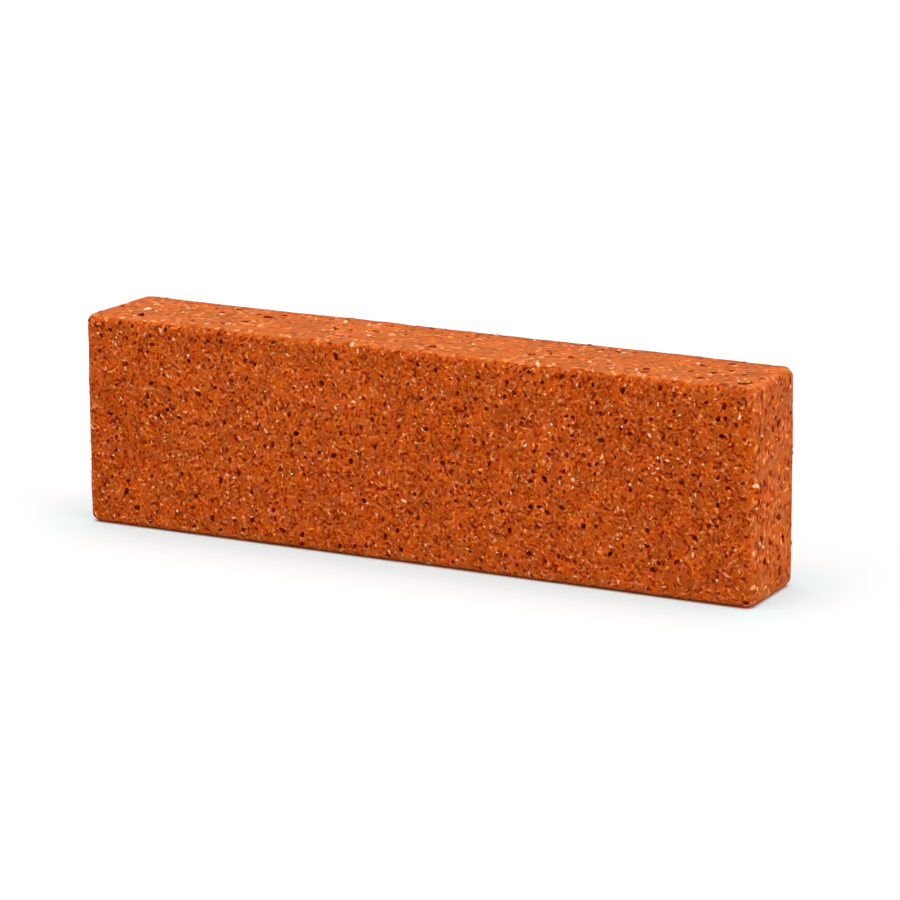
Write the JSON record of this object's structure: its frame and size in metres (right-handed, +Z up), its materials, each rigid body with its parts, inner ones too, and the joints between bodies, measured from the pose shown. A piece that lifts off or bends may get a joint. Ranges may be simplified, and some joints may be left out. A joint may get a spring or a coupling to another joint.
{
  "type": "clay brick",
  "caption": "Slim solid block of fired red clay with rounded arrises, laid in mortar as a facing or edging brick.",
  "frame": {"origin": "centre of the foot, the long narrow bed that the brick stands on, at floor level", "axes": "+X along the length, towards the end that the picture shows; +Y from the show face to the back; +Z up, from the foot to the top bed"},
  "size_m": [0.2, 0.028, 0.059],
  "materials": {
    "fired_clay": "matte fired clay with pale grog grains and dark pores"
  },
  "bodies": {
    "root": {"clay_brick": "fired_clay"}
  },
  "joints": []
}
